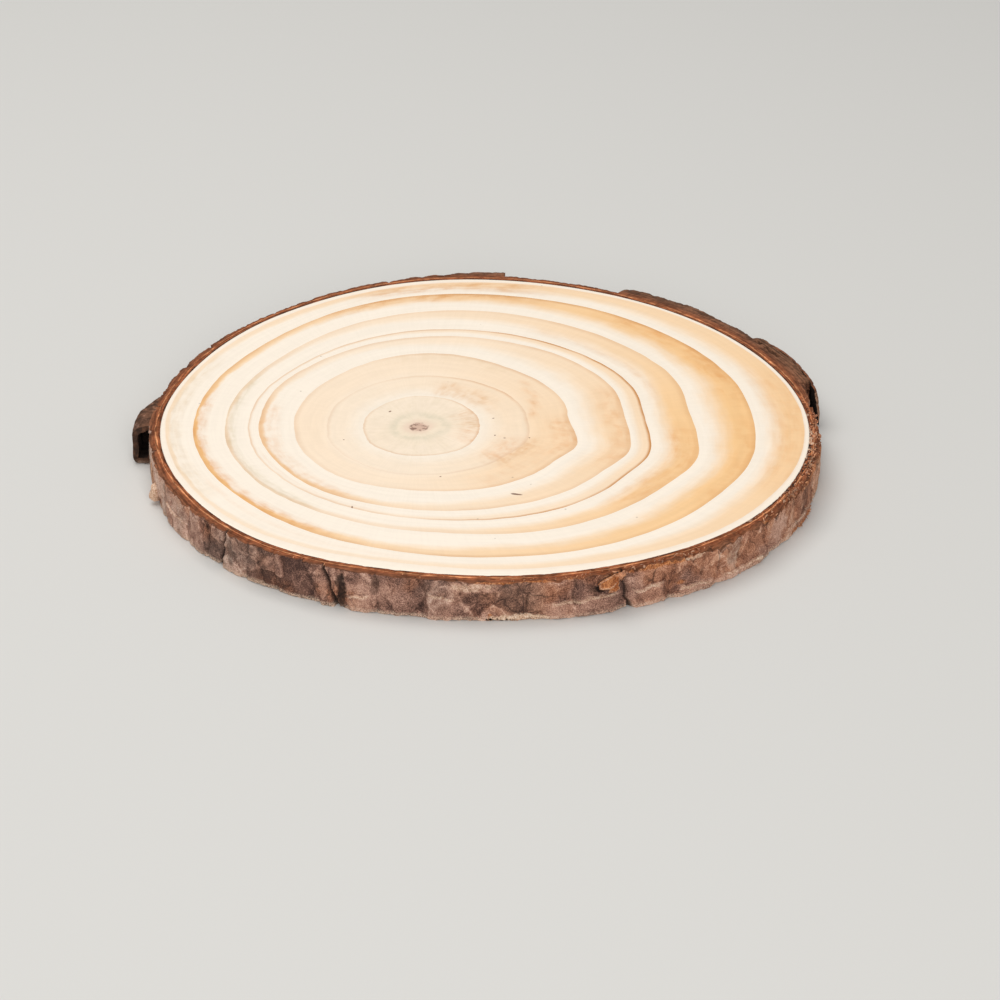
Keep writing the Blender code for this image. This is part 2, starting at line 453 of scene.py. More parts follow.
# %% The finish workbench
class Finish:
    def __init__(self, name):
        self.material = bpy.data.materials.new(name)
        self.material.use_nodes = True
        self.tree = self.material.node_tree
        self.shader = self.tree.nodes["Principled BSDF"]
        self.place = self.add("ShaderNodeTexCoord").outputs["Object"]

    def add(self, kind, inputs=None, **settings):
        made = self.tree.nodes.new(kind)
        for key, value in settings.items():
            setattr(made, key, value)
        for key, value in (inputs or {}).items():
            self.give(made.inputs[key], value)
        return made

    def give(self, socket, value):
        if isinstance(value, bpy.types.NodeSocket):
            self.tree.links.new(value, socket)
        else:
            socket.default_value = value

    def math(self, operation, first, second):
        made = self.add("ShaderNodeMath", {0: first, 1: second}, operation=operation)
        return made.outputs[0]

    def plus(self, first, second):
        return self.math("ADD", first, second)

    def times(self, first, second):
        return self.math("MULTIPLY", first, second)

    def sway(self, noise_value, size):
        """Noise as a push of that size to either side of 0."""
        return self.times(self.math("SUBTRACT", noise_value, 0.5), size)

    def colour_parts(self, colour):
        return self.add("ShaderNodeSeparateColor", {0: colour.outputs["Color"]}).outputs

    def axes(self, vector):
        return self.add("ShaderNodeSeparateXYZ", {0: vector}).outputs

    def raised(self, vector, height):
        """The vector with that height added, to reach another layer of a noise."""
        lift = self.add("ShaderNodeCombineXYZ", {"Z": height}).outputs[0]
        return self.vector("ADD", vector, lift)

    def shaded(self, colour, shade):
        """The colour times a shade of grey."""
        grey = self.add("ShaderNodeCombineColor", {index: shade for index in range(3)}).outputs[0]
        return self.mix(1.0, colour, grey, "MULTIPLY")

    def band(self, value, starts, full, ends, gone):
        """1 from full to ends, and falling to 0 at starts and at gone."""
        return self.times(self.between(value, starts, full), self.between(value, ends, gone, 1.0, 0.0))

    def vector(self, operation, first, second):
        made = self.add("ShaderNodeVectorMath", {0: first}, operation=operation)
        self.give(made.inputs[3 if operation == "SCALE" else 1], second)
        return made.outputs[1 if operation in ("LENGTH", "DISTANCE") else 0]

    def between(self, value, low, high, to_low=0.0, to_high=1.0):
        """Rises smoothly from to_low, at low, to to_high, at high."""
        places = {"Value": value, "From Min": low, "From Max": high, "To Min": to_low, "To Max": to_high}
        return self.add("ShaderNodeMapRange", places, interpolation_type="SMOOTHSTEP").outputs[0]

    def mix(self, factor, first, second, blend="MIX"):
        made = self.add("ShaderNodeMix", data_type="RGBA", blend_type=blend)
        self.give(made.inputs[0], factor)
        self.give(made.inputs[6], first)
        self.give(made.inputs[7], second)
        return made.outputs[2]

    def ramp(self, value, stops):
        made = self.add("ShaderNodeValToRGB", {0: value})
        elements = made.color_ramp.elements
        while len(elements) < len(stops):
            elements.new(0.5)
        for element, (at, colour) in zip(elements, stops):
            element.position = at
            element.color = colour
        return made.outputs[0]

    def noise(self, vector, scale, detail=2.0, roughness=0.5):
        sockets = {"Vector": vector, "Scale": scale, "Detail": detail, "Roughness": roughness}
        return self.add("ShaderNodeTexNoise", sockets).outputs[0]

    def stored(self, name):
        return self.add("ShaderNodeAttribute", attribute_name=name)

    def surface(self, colour, roughness, height, depth):
        """Sets the shader: its colour, its roughness and a bump of that depth in metres."""
        self.give(self.shader.inputs["Base Color"], colour)
        self.shader.inputs["Roughness"].default_value = roughness
        self.shader.inputs["Specular IOR Level"].default_value = 0.25
        bump = self.add("ShaderNodeBump", {"Height": height, "Distance": depth, "Strength": 1.0})
        self.give(self.shader.inputs["Normal"], bump.outputs[0])


# %% [markdown]
# The finish of the sawn pine
#
# From the base up: cream, the peach of summer wood, the thin line that ends a year,
# faint lines within the year, rays that run out from the pith, the grey pith with
# its halo, and last the specks, the bits of bark and the marks of the saw.

# %% Sawn pine
CREAM = paint(252, 241, 226)
PEACH_WOOD = paint(249, 203, 143)
LINE_WOOD = paint(206, 146, 88)
STAIN_WOOD = paint(226, 158, 88)
GREY_WOOD = paint(205, 188, 148)
PITH_WOOD = paint(196, 156, 138)
HALO_WOOD = paint(236, 208, 188)
SPECK = paint(104, 84, 70)
# Specks of bark pressed into the face: place from the pith, half length and half width in mm, and how many
# degrees they are turned
MARKS = [
    ((23.4, -33.3), 1.35, 0.42, -14), ((-7.1, 8.2), 0.45, 0.26, 50), ((-14.1, -39.3), 0.16, 0.5, 5),
    ((17.9, 4.6), 0.3, 0.2, 20), ((18.3, -4.2), 0.26, 0.2, 80), ((20.6, -5.6), 0.3, 0.18, 0),
    ((-17.6, -6.5), 0.24, 0.2, 0), ((26.5, -5.5), 0.24, 0.2, 0), ((5.7, -24.8), 0.24, 0.2, 30),
]

pine = Finish("sawn_pine")
look = pine.stored("ring_look")
phase, peach, line = pine.colour_parts(look)
starts = look.outputs["Alpha"]
orange, grey_green, from_line = pine.axes(pine.stored("stains").outputs["Vector"])
grown = pine.stored("growth").outputs["Vector"]
heading = pine.vector("NORMALIZE", grown, (0, 0, 0))
age = pine.vector("LENGTH", grown, (0, 0, 0))
fine_lines = pine.noise(pine.raised(pine.vector("SCALE", heading, 2.2), pine.times(age, 7.0)), 1.0, 4.0, 0.6)
rays = pine.noise(pine.raised(pine.vector("SCALE", heading, 70.0), age), 1.0, 3.0, 0.6)
cloud = pine.noise(pine.place, 70.0, 3.0, 0.55)
fleck = pine.noise(pine.place, 420.0, 3.0, 0.6)
streaks = pine.noise(pine.raised(pine.vector("SCALE", heading, 9.0), pine.times(age, 6.0)), 1.0, 3.0, 0.6)
wavering = pine.plus(phase, pine.plus(pine.sway(cloud, 0.26), pine.sway(streaks, 0.22)))
full = pine.plus(pine.times(starts, 0.33), 0.66)
rise = pine.between(wavering, starts, full)
summer = pine.times(rise, peach)
colour = pine.mix(summer, CREAM, PEACH_WOOD)
blotches = pine.plus(pine.times(fleck, 0.35), pine.times(streaks, 0.65))
patchy = pine.between(blotches, 0.38, 0.60, 0.35, 1.1)
colour = pine.mix(pine.times(orange, patchy), colour, STAIN_WOOD)
colour = pine.mix(pine.times(grey_green, patchy), colour, GREY_WOOD)
line_strength = pine.times(pine.between(from_line, 0.0, 1.0, 1.0, 0.0), line)
line_strength = pine.times(line_strength, pine.between(cloud, 0.3, 0.65, 0.45, 1.1))
colour = pine.mix(line_strength, colour, LINE_WOOD)
line_shade = pine.between(fine_lines, 0.3, 0.7, 0.965, 1.01)
ray_shade = pine.between(rays, 0.3, 0.7, 0.985, 1.01)
colour = pine.shaded(colour, pine.times(line_shade, ray_shade))

# %% The pith and its halo
GREY_RING = paint(212, 205, 182)
OLD_WOOD = paint(232, 220, 194)
PITH_EDGE = paint(124, 88, 76)
flat_place = pine.vector("MULTIPLY", pine.place, (1, 1, 0))
from_pith = pine.vector("DISTANCE", flat_place, tuple(PITH))
from_pith = pine.plus(pine.plus(from_pith, pine.sway(cloud, 4 * MM)), pine.sway(fleck, 2 * MM))
strands = pine.noise(pine.place, 900.0, 2.0, 0.6)
colour = pine.mix(pine.between(from_pith, 3 * MM, 12 * MM, 0.3, 0.0), colour, OLD_WOOD)
grey_ring = pine.band(from_pith, 4.6 * MM, 6.2 * MM, 6.4 * MM, 8.2 * MM)
grey_ring = pine.times(grey_ring, pine.between(fleck, 0.3, 0.7, 0.15, 0.5))
colour = pine.mix(grey_ring, colour, GREY_RING)
colour = pine.mix(pine.between(from_pith, 2.4 * MM, 4.8 * MM, 0.6, 0.0), colour, HALO_WOOD)
colour = pine.mix(pine.between(from_pith, 1.5 * MM, 2.5 * MM, 0.6, 0.0), colour, PITH_WOOD)
pith_ring = pine.band(from_pith, 0.5 * MM, 1.2 * MM, 1.9 * MM, 2.6 * MM)
pith_ring = pine.times(pith_ring, pine.between(strands, 0.46, 0.58, 0.0, 0.75))
colour = pine.mix(pith_ring, colour, PITH_EDGE)

# %% Specks, marks and the saw
MARK_WOOD = paint(116, 76, 58)
dots = pine.add("ShaderNodeTexVoronoi", {"Vector": pine.place, "Scale": 250.0})
rare = pine.math("GREATER_THAN", pine.colour_parts(dots)[0], 0.9)
dot = pine.times(pine.between(dots.outputs["Distance"], 0.03, 0.09, 1.0, 0.0), rare)
colour = pine.mix(pine.times(dot, 0.4), colour, SPECK)

for (right, forward), half_length, half_width, turn in MARKS:
    centre = PITH + Vector((right, forward, 0)) * MM
    mapping = pine.add("ShaderNodeMapping", {
        "Vector": pine.place,
        "Location": tuple(centre),
        "Rotation": (0, 0, math.radians(turn)),
        "Scale": (half_length * MM, half_width * MM, 1.0),
    }, vector_type="TEXTURE")
    flat = pine.vector("MULTIPLY", mapping.outputs[0], (1, 1, 0))
    ragged = pine.plus(pine.vector("LENGTH", flat, (0, 0, 0)), pine.math("SUBTRACT", fleck, 0.5))
    colour = pine.mix(pine.between(ragged, 0.7, 1.2, 0.85, 0.0), colour, MARK_WOOD)

SAW_TURN = (0, 0, math.radians(28))
saw_place = pine.add("ShaderNodeMapping", {"Vector": pine.place, "Rotation": SAW_TURN}).outputs[0]
saw_lines = pine.noise(pine.vector("MULTIPLY", saw_place, (150, 2200, 1)), 1.0, 2.0, 0.6)
grain = pine.noise(pine.place, 2600.0, 2.0, 0.6)
height = pine.plus(pine.times(saw_lines, 0.4), pine.times(grain, 0.4))
height = pine.plus(height, pine.times(summer, 0.6))
pine.surface(colour, 0.62, height, 0.04 * MM)
disc.data.materials.append(pine.material)

# %% [markdown]
# The bark
#
# Bark is made from inside, so it can't stretch: as the trunk thickens, its outside
# tears into plates with fissures between them, and the plates shed in thin shells.
# The ring starts as a small rectangle that is spun round the pith. It is then
# pushed out to the plates' faces, point by point.

# %% Plates and fissures, in degrees round the pith
FISSURES = [1, 8, 15, 31, 40, 48, 56, 66, 77, 87, 97, 105, 113, 121, 130, 140, 150, 160, 170, 181, 190,
            197, 204, 209, 216, 223, 229, 236, 243, 251, 254.8, 264, 271, 280, 290, 297, 305.2, 311, 318,
            325, 331, 340, 349]
DEEP_FISSURES = {97, 121, 140, 170, 190, 229, 254.8, 305.2}
FISSURE_LEANS = {229: 2.2, 251: -3.6, 254.8: -2.8, 305.2: -1.1}  # from the lower end to the upper end
FISSURE_BOWS = {223: (-0.6, 1.6), 271: (-0.8, 1.3), 280: (-1.6, 1.4)}  # at the ends, and in the middle
# Plates whose thickness was measured, at their start and at their end. Some stand off the trunk.
PROUD_PLATES_MM = {
    1: (2.2, 2.2), 8: (2.2, 3.9), 15: (6.5, 6.6), 31: (5.0, 5.4), 40: (5.7, 6.0), 48: (6.0, 5.4),
    56: (2.3, 2.4), 77: (5.2, 3.8), 87: (3.6, 2.2), 170: (2.6, 2.6), 181: (2.3, 2.3), 190: (2.4, 2.7),
}
PLATE_VARIES_MM = 0.28
LEAN_VARIES = 1.5
BARK_SEED = 7
# Every 30 degrees from east: the bark's thickness, how light its skin is, partly its own tone and partly
# painted light and shade on each side, and how ragged it is
BARK_MM = [2.6, 4.4, 2.4, 3.0, 2.0, 2.6, 2.6, 2.8, 2.6, 2.7, 2.7, 2.8]
SKIN_TONE_AND_SIDE_SHADE = [0.2, 0, 0, 0, 0, 0, 0.1, 0.7, -0.5, -0.2, -0.05, 0.35]
ROUGH_HERE = [0.9, 0.5, 0.35, 0.3, 0.35, 0.5, 0.9, 1.0, 1.0, 1.0, 1.0, 1.0]


class Plate:
    """One plate of bark, from the fissure where it starts to the next one."""

    def __init__(self, start, end, draw):
        self.start = start
        self.end = end
        varies = draw.uniform(-PLATE_VARIES_MM, PLATE_VARIES_MM)
        tilts = draw.uniform(-PLATE_VARIES_MM, PLATE_VARIES_MM)
        lean = draw.uniform(-LEAN_VARIES, LEAN_VARIES)
        ragged = by_compass(ROUGH_HERE, start)
        plain = (by_compass(BARK_MM, start) + (varies - tilts) * ragged,
                 by_compass(BARK_MM, end) + (varies + tilts) * ragged)
        self.sides_mm = PROUD_PLATES_MM.get(start, plain)
        self.deep = start in DEEP_FISSURES
        self.measured = start in FISSURE_LEANS or start in FISSURE_BOWS
        self.lean = FISSURE_LEANS.get(start, lean)
        self.bow = FISSURE_BOWS.get(start, (0, 0))

    def fissure_at(self, up):
        """Where the fissure lies at that height, wandering as a crack does."""
        strays = 0.1 if self.measured else 0.8
        wander = noise.noise(Vector((self.start * 3.7, up * 2.5, 0.5))) * strays
        wander += noise.noise(Vector((self.start * 5.1, up * 9.0, 2.5))) * 0.3
        ends, middle = self.bow
        bow = ends + (middle - ends) * (1 - (2 * up - 1) ** 2)
        return self.start + self.lean * (up - 0.5) + wander + bow


draw = random.Random(BARK_SEED)
ends = FISSURES[1:] + [FISSURES[0] + 360]
plates = [Plate(start, end, draw) for start, end in zip(FISSURES, ends)]
print(len(plates), "plates of bark")

# %% [markdown]
# The shape of the bark's face is worked out by a function of the angle and height.
# It adds up what one sees from far to near: the plate, the fissure beside it, the
# shells that have split off it like slate, and the grain of each shell. A few places
# have a story of their own, a ledge or a hollow, and those are listed. Cracks, hollows
# and the shadow over a ledge are painted dark, as painted shade, and shell edges and
# ledge lips get painted highlights.

# %% How thick the bark is at a point
# The third value of each is how dark the fissure is painted down in it, as painted shade
DEEP_FISSURE = (1.4, 0.62, 1.0)  # depth and half width in mm, and how dark
SHALLOW_FISSURE = (0.35, 0.45, 0.6)
DOME_MM = 0.25  # how far the middle of a plate stands out
SHELL_SIZES_MM = [(11.0, 0.28), (4.6, 0.13)]  # how large the shells are, and how much they differ in height
# Ledges, below which the bark is thicker: start and end in degrees, then height at each and gain in mm
LEDGES = [
    (291.5, 305.0, 3.7, 4.9, 0.8), (305.3, 312, 4.4, 5.0, 0.75), (313, 320, 2.6, 1.8, 0.7),
    (320, 331, 1.6, 1.7, 0.5), (205, 216, 6.0, 4.0, 0.4), (336, 347, 2.2, 2.6, 0.4),
    (258, 263, 3.2, 4.4, 0.3), (272, 278, 6.6, 5.2, 0.35),
]
# Hollows: centre in degrees and mm of height, half width in degrees, half height in mm, and depth in mm
HOLLOWS = [
    (257.0, 4.6, 0.8, 4.4, 0.6), (231.0, 5.0, 1.0, 3.2, 0.3), (301.6, 6.4, 1.5, 0.9, 0.7),
    (331.5, 8.8, 0.5, 0.9, 0.9), (333.7, 9.0, 0.4, 0.6, 0.7), (350.9, 8.6, 0.4, 1.9, 0.9),
    (263.6, 7.2, 0.5, 2.4, 0.3),
]
# Patches of another colour on the bark's face: centre in degrees and mm of height, half width in degrees,
# half height in mm, and strength. The dark ones are mostly painted shade on hollows and recesses, and partly
# darker bark
SPOTS = {
    "dark": [
        (231.6, 5.2, 1.2, 3.2, 0.5), (240.5, 4.6, 0.9, 1.5, 0.3), (257.0, 4.6, 1.0, 5.0, 0.8),
        (263.6, 7.2, 0.9, 2.8, 0.5), (300.9, 6.2, 1.8, 1.0, 0.7), (323.6, 6.6, 1.7, 3.0, 0.45),
        (343.0, 5.6, 1.5, 3.4, 0.4), (287.8, 6.2, 1.6, 2.0, 0.15), (273.6, 5.0, 2.8, 4.2, 0.26),
        (234.5, 5.5, 2.6, 4.5, 0.2), (213.0, 5.0, 1.6, 5.0, 0.25), (186.0, 4.0, 3.0, 5.0, 0.5),
        (204.5, 3.5, 1.8, 5.0, 0.3), (351.0, 7.6, 0.8, 2.2, 0.6),
    ],
    "pink": [
        (281.2, 8.4, 4.0, 1.3, 1.0), (262.8, 5.2, 4.2, 3.6, 0.5), (237.5, 2.6, 1.8, 2.0, 0.25),
        (323.5, 0.9, 3.6, 0.7, 0.75), (316.6, 1.6, 2.7, 0.8, 0.65), (298.3, 3.2, 5.0, 1.2, 0.5),
        (306.8, 6.6, 1.6, 2.0, 0.4), (334.0, 4.8, 2.8, 3.2, 0.75), (323.0, 4.5, 1.0, 2.5, 0.3),
        (253.4, 5.4, 1.0, 3.4, 0.45), (249.0, 3.0, 1.6, 2.0, 0.3),
    ],
    "orange": [
        (284.5, 9.7, 4.5, 0.5, 0.8), (293.0, 9.7, 6.0, 0.4, 0.9), (311.5, 9.4, 7.0, 0.8, 0.85),
        (331.8, 9.3, 1.4, 0.8, 0.9), (335.0, 9.3, 2.4, 0.6, 0.8), (283.3, 0.7, 0.6, 1.0, 0.8),
        (343.5, 0.5, 4.6, 0.9, 0.9), (314.1, 3.4, 0.7, 0.6, 0.7), (352.0, 9.0, 9.0, 1.3, 0.7),
        (304.2, 9.2, 1.2, 0.8, 0.9), (197.0, 0.8, 1.5, 0.8, 0.7),
    ],
    "cream": [
        (287.6, 0.7, 4.9, 0.75, 1.0), (316.8, 9.0, 1.3, 0.7, 0.7), (237.5, 0.8, 3.0, 0.9, 0.3),
        (280.6, 8.4, 3.2, 0.9, 0.5), (336.8, 9.5, 1.4, 0.4, 0.8), (228.0, 0.6, 0.9, 0.8, 0.3),
    ],
}
# Holes in the sawn top of the bark: start and end in degrees, start and end outside the wood in mm
TOP_HOLES = [(23.3, 27.0, 3.9, 4.7), (28.1, 29.3, 3.8, 4.8)]


def trunk_point_mm(degrees, beyond_mm, height_mm):
    """A point that far outside the wood, in millimetres."""
    radius = by_compass(WOOD_RADII_MM, degrees) + beyond_mm
    angle = math.radians(degrees)
    x = PITH.x / MM + radius * math.cos(angle)
    y = PITH.y / MM + radius * math.sin(angle)
    return Vector((x, y, height_mm))


def shells(point, size):
    """Curved shells like broken slate: which this is, from -1 to 1, and how far off its edge is in mm."""
    warp = noise.noise_vector(point / (size * 0.8)) * 0.42
    warp += noise.noise_vector(point / (size * 0.25)) * 0.12
    spot = point / size + warp
    distances, centres = noise.voronoi(spot)
    return noise.cell(centres[0] * 41.7), (distances[1] - distances[0]) * size / 2


def patch(degrees, height, centre, level, half_width, half_height, point):
    """1 inside a patch of the bark's face, and 0 outside its ragged edge."""
    spread = ((degrees - centre) / half_width) ** 2 + ((height - level) / half_height) ** 2
    if spread > 3:
        return 0.0
    spread += 1.1 * noise.noise(point / 1.4) + 0.6 * noise.noise(point / 0.5)
    return min(1.0, max(0.0, (1.2 - spread) / 0.5))


def spots_at(degrees, height):
    """How dark, pink, orange and cream the bark's face is there. The dark is partly painted shade on hollows
    and recesses.
    """
    point = trunk_point_mm(degrees, 0, height)
    return [
        max(strength * patch(degrees, height, *place, point) for *place, strength in patches)
        for patches in SPOTS.values()
    ]


def bark_face(degrees, up):
    """Thickness of the bark in mm, the painted shade in its cracks, hollows and over its ledges, the shell's
    tone with painted light and shade, and the painted highlight on its edges.
    """
    index = max(i for i, plate in enumerate(plates) if plate.fissure_at(up) <= degrees or i == 0)
    if plates[0].fissure_at(up) > degrees:
        index = len(plates) - 1
        degrees += 360
    plate = plates[index]
    following = plates[(index + 1) % len(plates)]
    start = plate.fissure_at(up)
    end = following.fissure_at(up) + (360 if index == len(plates) - 1 else 0)
    share = (degrees - start) / (end - start)
    thickness = plate.sides_mm[0] + (plate.sides_mm[1] - plate.sides_mm[0]) * share
    thickness += DOME_MM * (1 - (2 * share - 1) ** 2)
    arc = math.radians(1) * by_compass(WOOD_RADII_MM, degrees)
    crack = lit = 0.0
    ragged = by_compass(ROUGH_HERE, degrees)
    for line, away in ((plate, degrees - start), (following, end - degrees)):
        depth, width, dark = DEEP_FISSURE if line.deep else SHALLOW_FISSURE
        comes_and_goes = 0.75 + 0.9 * noise.noise(Vector((line.start, up * 3, 7)))
        if line.measured:
            comes_and_goes = max(comes_and_goes, 0.8)
        else:
            depth *= 0.3 + 0.7 * ragged
        open_here = max(0.0, 1 - away * arc / (width * max(0.15, comes_and_goes)))
        thickness -= depth * open_here**0.6 * min(1.0, comes_and_goes + 0.2)
        # The fissure is painted dark down in it, as painted shade
        crack = max(crack, open_here**0.5 * dark * min(1.0, comes_and_goes))
    height = up * THICKNESS / MM
    point = trunk_point_mm(degrees, 0, height * 0.8)
    tone = noise.cell(Vector((index * 3.1, 4.2, 9.5))) * 0.3
    # The skin is painted lighter or darker by compass: partly its own tone, partly painted light and shade
    # on each side
    tone += by_compass(SKIN_TONE_AND_SIDE_SHADE, degrees)
    for size, rise in SHELL_SIZES_MM:
        shell, edge = shells(point, size)
        rise *= 0.4 + 0.6 * ragged
        thickness += shell * rise
        shown = max(0.0, 0.35 + 1.6 * noise.noise(point / (size * 1.1) + Vector((9, 4, 2))))
        hairline = max(0.0, 1 - edge / 0.24) * min(1.0, shown)
        thickness -= hairline * rise * 0.8
        # The hairline between shells is painted dark, as painted shade
        crack = max(crack, hairline * 0.42)
        tone += shell * rise * 1.6
        # A painted highlight along the edges of standing shells, in their tone and in the pink and cream of
        # their spots
        lit_edge = max(0.0, 1 - abs(edge - 0.42) / 0.3)
        lit_edge *= max(0.0, shell) * min(1.0, 0.4 + shown)
        tone += 0.5 * lit_edge
        lit = max(lit, 0.6 * lit_edge)
    turn = degrees % 360
    for first, last, low, high, thicker in LEDGES:
        if first < turn < last:
            along = (turn - first) / (last - first)
            level = low + (high - low) * along
            level += 0.5 * noise.noise(point / 2.2) + 0.2 * noise.noise(point / 0.8)
            below = min(1.0, max(0.0, (level - height) / 0.35 + 0.5))
            fading = min(1.0, 6 * along, 6 * (1 - along))
            thickness += thicker * below * fading
            # A painted highlight on the ledge's lip and on the thicker bark below it, and a painted shadow
            # just above the ledge
            lip = max(0.0, 1 - abs(level - height - 0.15) / 0.45)
            shadow = max(0.0, 1 - abs(height - level - 0.38) / 0.25)
            lit = max(lit, 0.42 * below * fading, lip * fading)
            crack = max(crack, 0.6 * shadow * fading)
    for centre, level, half_width, half_height, depth in HOLLOWS:
        sunk = patch(turn, height, centre, level, half_width, half_height, point)
        thickness -= depth * sunk
        # A hollow is also painted dark by its depth, as painted shade in it
        crack = max(crack, min(0.8, 1.1 * depth) * sunk)
    thickness += noise.noise(point / 2.6) * 0.12 + noise.noise(point / 0.9) * 0.07
    return thickness, crack, tone, lit


print("bark at 270 degrees:", bark_face(270, 0.5))

# %% [markdown]
# Two tissues meet in the bark. Next to the wood lies the soft inner bark, orange
# brown and full of fibre, and outside it the hard, grey brown outer bark. The saw
# and many hands have broken the upper edge, so the outer bark stops short there and
# the inner bark shows as a bright band.

# %% Spin a section round the pith
def spun_section(name, cuts, columns):
    """A rectangle one unit wide and tall, one unit off the axis, turned once round it.

    cuts says how many times its inner, top, outer and bottom edges are cut.
    """
    deselect_all()
    bpy.ops.mesh.primitive_plane_add(size=1, location=(1.5, 0, 0.5), rotation=(math.pi / 2, 0, 0))
    ring = bpy.context.object
    call(ring, name)
    bpy.ops.object.transform_apply(location=True, rotation=True, scale=True)
    edit(ring, "EDGE")
    bpy.ops.mesh.select_all(action="SELECT")
    bpy.ops.mesh.delete(type="ONLY_FACE")
    middles = [(1, 0.5), (1.5, 1), (2, 0.5), (1.5, 0)]

    def ends_of(edge):
        return [ring.data.vertices[index].co for index in edge.vertices]

    def uncut(edge, middle):
        """Whether this is the rectangle's whole side with its middle there."""
        first, second = ends_of(edge)
        return ((first + second) / 2 - middle).length < 0.01 and (first - second).length > 0.9

    def runs_round(edge):
        """Whether both ends are at one height and one distance from the axis."""
        first, second = ends_of(edge)
        return abs(first.z - second.z) < 1e-4 and abs(first.xy.length - second.xy.length) < 1e-4

    for (across, up), number in zip(middles, cuts):
        pick("edges", lambda edge: uncut(edge, Vector((across, 0, up))))
        bpy.ops.mesh.subdivide(number_cuts=number)
    bpy.ops.mesh.select_all(action="SELECT")
    bpy.ops.mesh.spin(steps=columns // 4, angle=math.tau, center=(0, 0, 0), axis=(0, 0, 1))
    bpy.ops.mesh.select_all(action="SELECT")
    bpy.ops.mesh.remove_doubles(threshold=0.0001)
    pick("edges", runs_round)
    bpy.ops.mesh.subdivide(number_cuts=3)
    bpy.ops.mesh.select_all(action="SELECT")
    bpy.ops.mesh.normals_make_consistent(inside=False)
    bpy.ops.object.mode_set(mode="OBJECT")
    return ring


def unrolled(vertex):
    """The angle, how far out through the section and how high, of a point that was spun."""
    x, y, up = vertex.co
    return math.degrees(math.atan2(y, x)) % 360, math.hypot(x, y) - 1, up


# %% How the upper edge is broken
BAND_MM = 1.2  # where the outer bark begins, outside the wood
# Every 30 degrees from east: how far down the edge is broken, and how much skin is lost below it
EDGE_BREAKS_MM = [0.7, 0.3, 0.15, 0.15, 0.15, 0.2, 0.3, 0.5, 0.35, 0.15, 0.5, 0.7]
PEELED_HERE = [1.0, 0.8, 0.8, 0.8, 0.8, 0.6, 0.4, 0.3, 0.35, 0.3, 0.8, 1.0]
TORN_MM = 0.9  # how deep the saw tore the bark where it came out of the log


def broken_top_mm(degrees, beyond_mm, thickness_mm):
    """How far below the saw cut the bark's top lies: it is chipped away near its outer edge."""
    point = trunk_point_mm(degrees, beyond_mm, 0)
    near_edge = max(0.0, 1 - (thickness_mm - beyond_mm) / 1.6)
    chips = noise.noise(point / 3.4) + 0.6 * noise.noise(point / 1.2)
    chipped = by_compass(EDGE_BREAKS_MM, degrees) * near_edge * (1.0 + 1.8 * chips)
    torn_here = bump_at(degrees, 350, 22) + bump_at(degrees, 313, 9)
    chipped += TORN_MM * torn_here * max(0.0, noise.noise(point / 0.75))
    down = 0.05 + 0.12 * max(0.0, noise.noise(point / 0.8)) + min(max(0.0, chipped), 1.8)
    for first, last, inner_edge, outer_edge in TOP_HOLES:
        across = min(beyond_mm - inner_edge, outer_edge - beyond_mm)
        inside = min((degrees - first) / 0.4, (last - degrees) / 0.4, across / 0.2)
        down += 3.0 * min(1.0, max(0.0, inside + noise.noise(point / 0.5)))
    return down


def inside_box(point):
    """Keeps a point within the measured model, whose size is the slice's true size."""
    low, high = cad_box
    return Vector(min(max(value, low[i] + 1e-5), high[i] - 1e-5) for i, value in enumerate(point))


# %% What the bark's finish will read at each point
DEPTH_UNIT_MM = 8  # depths are kept as shares of this


def store_bark(piece, looks, spots):
    """Keeps two rows of four values for each point.

    A look is how whole the skin is, the depth, how dark the cracks are, with painted shade in them, and the
    tone of the shell, with painted light and shade in it.
    A spot is how dark, pink, orange and cream that place is; the dark holds painted shade, and the pink and
    cream hold painted highlights.
    """
    store(piece, "bark_look", "FLOAT_COLOR", "POINT", "color", looks)
    store(piece, "bark_spots", "FLOAT_COLOR", "POINT", "color", spots)


# %% Model the outer bark
COLUMNS = 1480  # round the ring
LEAST_OUTER_MM = BAND_MM + 0.35
outer = spun_section("outer_bark", (1, 14, 35, 6), COLUMNS)
looks = []
spots = []
tall = THICKNESS / MM
for vertex in outer.data.vertices:
    degrees, out, up = unrolled(vertex)
    thickness, crack, tone, lit = bark_face(degrees, up)
    thickness = max(thickness, LEAST_OUTER_MM)
    beyond = BAND_MM + (thickness - BAND_MM) * out
    down = broken_top_mm(degrees, beyond, thickness)
    top = tall - down
    under = max(0.0, 0.12 + 0.35 * noise.noise(trunk_point_mm(degrees, 0, 3) / 1.7)) * out
    height = under + (top - under) * up
    near = trunk_point_mm(degrees, 0, up * 9)
    whole = 0.0
    if out > 0.97:
        rounding = max(0.0, 1 - (top - height) / 0.7) ** 2 * 0.35
        rounding += max(0.0, 1 - height / 0.4) ** 2 * 0.2
        beyond -= rounding * (0.5 + 1.1 * noise.noise(near / 1.3)) * by_compass(ROUGH_HERE, degrees)
        peeled = 1.6 * max(0.0, noise.noise(near / 3.0) + 0.5 * noise.noise(near / 1.1) - 0.05)
        peeled *= by_compass(PEELED_HERE, degrees)
        whole = min(1.0, max(0.0, (top - height - peeled) / 0.4 + 0.5)) if up > 0.5 else 1.0
        darker, pinker, oranger, creamier = spots_at(degrees, height)
        # lit adds its painted highlight to the pink and the cream
        spots.append([darker, max(pinker, lit), oranger, max(creamier, 1.8 * (lit - 0.45))])
    else:
        # Where the sawn top is sunk more than 1.8 mm, as in its holes, it is painted dark as painted shade
        spots.append([0.9 if down > 1.8 else 0.0, 0.0, 0.0, 0.0])
    vertex.co = inside_box(trunk_point_mm(degrees, beyond, height) * MM)
    shell_tone = 0.5 + 0.5 * max(-1, min(1, tone))
    looks.append((whole, beyond / DEPTH_UNIT_MM, crack if out > 0.5 else 0.0, shell_tone))
store_bark(outer, looks, spots)
print("outer bark:", len(outer.data.vertices), "points")

